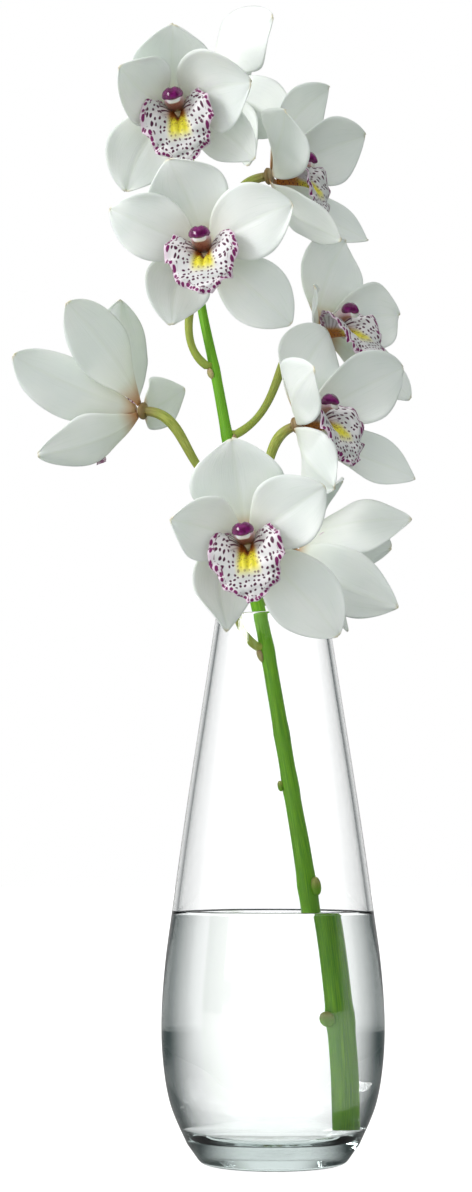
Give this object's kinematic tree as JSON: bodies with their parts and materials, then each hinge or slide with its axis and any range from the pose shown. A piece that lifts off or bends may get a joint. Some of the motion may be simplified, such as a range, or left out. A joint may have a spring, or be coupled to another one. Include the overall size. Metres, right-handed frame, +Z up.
{
  "type": "flower vase",
  "caption": "Tapered clear glass vase with a thick base and narrow neck, holding one cut orchid spray of white blooms with spotted lips that lifts out.",
  "frame": {"origin": "centre of the vase's flat foot, on the vase's axis", "axes": "+Z up along the vase's axis, +X to the right as seen from the front, +Y to the back; the spray leans towards -X"},
  "size_m": [0.2419, 0.1668, 0.7067],
  "materials": {
    "clear_glass": "clear, colourless, fire polished",
    "green_stem": "fresh green plant stalk with a faint wax sheen",
    "pedicel": "olive green flower stalk",
    "white_sepal": "waxy, slightly translucent white",
    "white_petal": "waxy, slightly translucent white",
    "spotted_lip": "white with magenta spots and a yellow throat",
    "column": "glossy magenta tip over a dusty rose shaft",
    "bract": "dry, brown green scale"
  },
  "bodies": {
    "vase": {"vase": "clear_glass"},
    "spray": {"peduncle_foot": "green_stem", "peduncle": "green_stem", "flower_1_pedicel": "pedicel", "flower_1_sepals": "white_sepal", "flower_1_petals": "white_petal", "flower_1_lip": "spotted_lip", "flower_1_column": "column", "flower_2_pedicel": "pedicel", "flower_2_sepals": "white_sepal", "flower_2_petals": "white_petal", "flower_2_lip": "spotted_lip", "flower_2_column": "column", "flower_3_pedicel": "pedicel", "flower_3_sepals": "white_sepal", "flower_3_petals": "white_petal", "flower_3_lip": "spotted_lip", "flower_3_column": "column", "flower_4_pedicel": "pedicel", "flower_4_sepals": "white_sepal", "flower_4_petals": "white_petal", "flower_4_lip": "spotted_lip", "flower_4_column": "column", "flower_5_pedicel": "pedicel", "flower_5_sepals": "white_sepal", "flower_5_petals": "white_petal", "flower_5_lip": "spotted_lip", "flower_5_column": "column", "flower_6_pedicel": "pedicel", "flower_6_sepals": "white_sepal", "flower_6_petals": "white_petal", "flower_6_lip": "spotted_lip", "flower_6_column": "column", "flower_7_pedicel": "pedicel", "flower_7_sepals": "white_sepal", "flower_7_petals": "white_petal", "flower_7_lip": "spotted_lip", "flower_7_column": "column", "flower_8_pedicel": "pedicel", "flower_8_sepals": "white_sepal", "flower_8_petals": "white_petal", "flower_8_lip": "spotted_lip", "flower_8_column": "column", "flower_9_pedicel": "pedicel", "flower_9_sepals": "white_sepal", "flower_9_petals": "white_petal", "flower_9_lip": "spotted_lip", "flower_9_column": "column", "bract_1": "bract", "bract_2": "bract", "bract_3": "bract", "stub_1": "bract", "stub_2": "bract", "stub_3": "bract"}
  },
  "joints": [
    {"name": "spray_lift", "type": "slide", "parent": "vase", "child": "spray", "axis": [-0.1333, -0.0233, 0.9908], "range_m": [0, 0.32]}
  ]
}
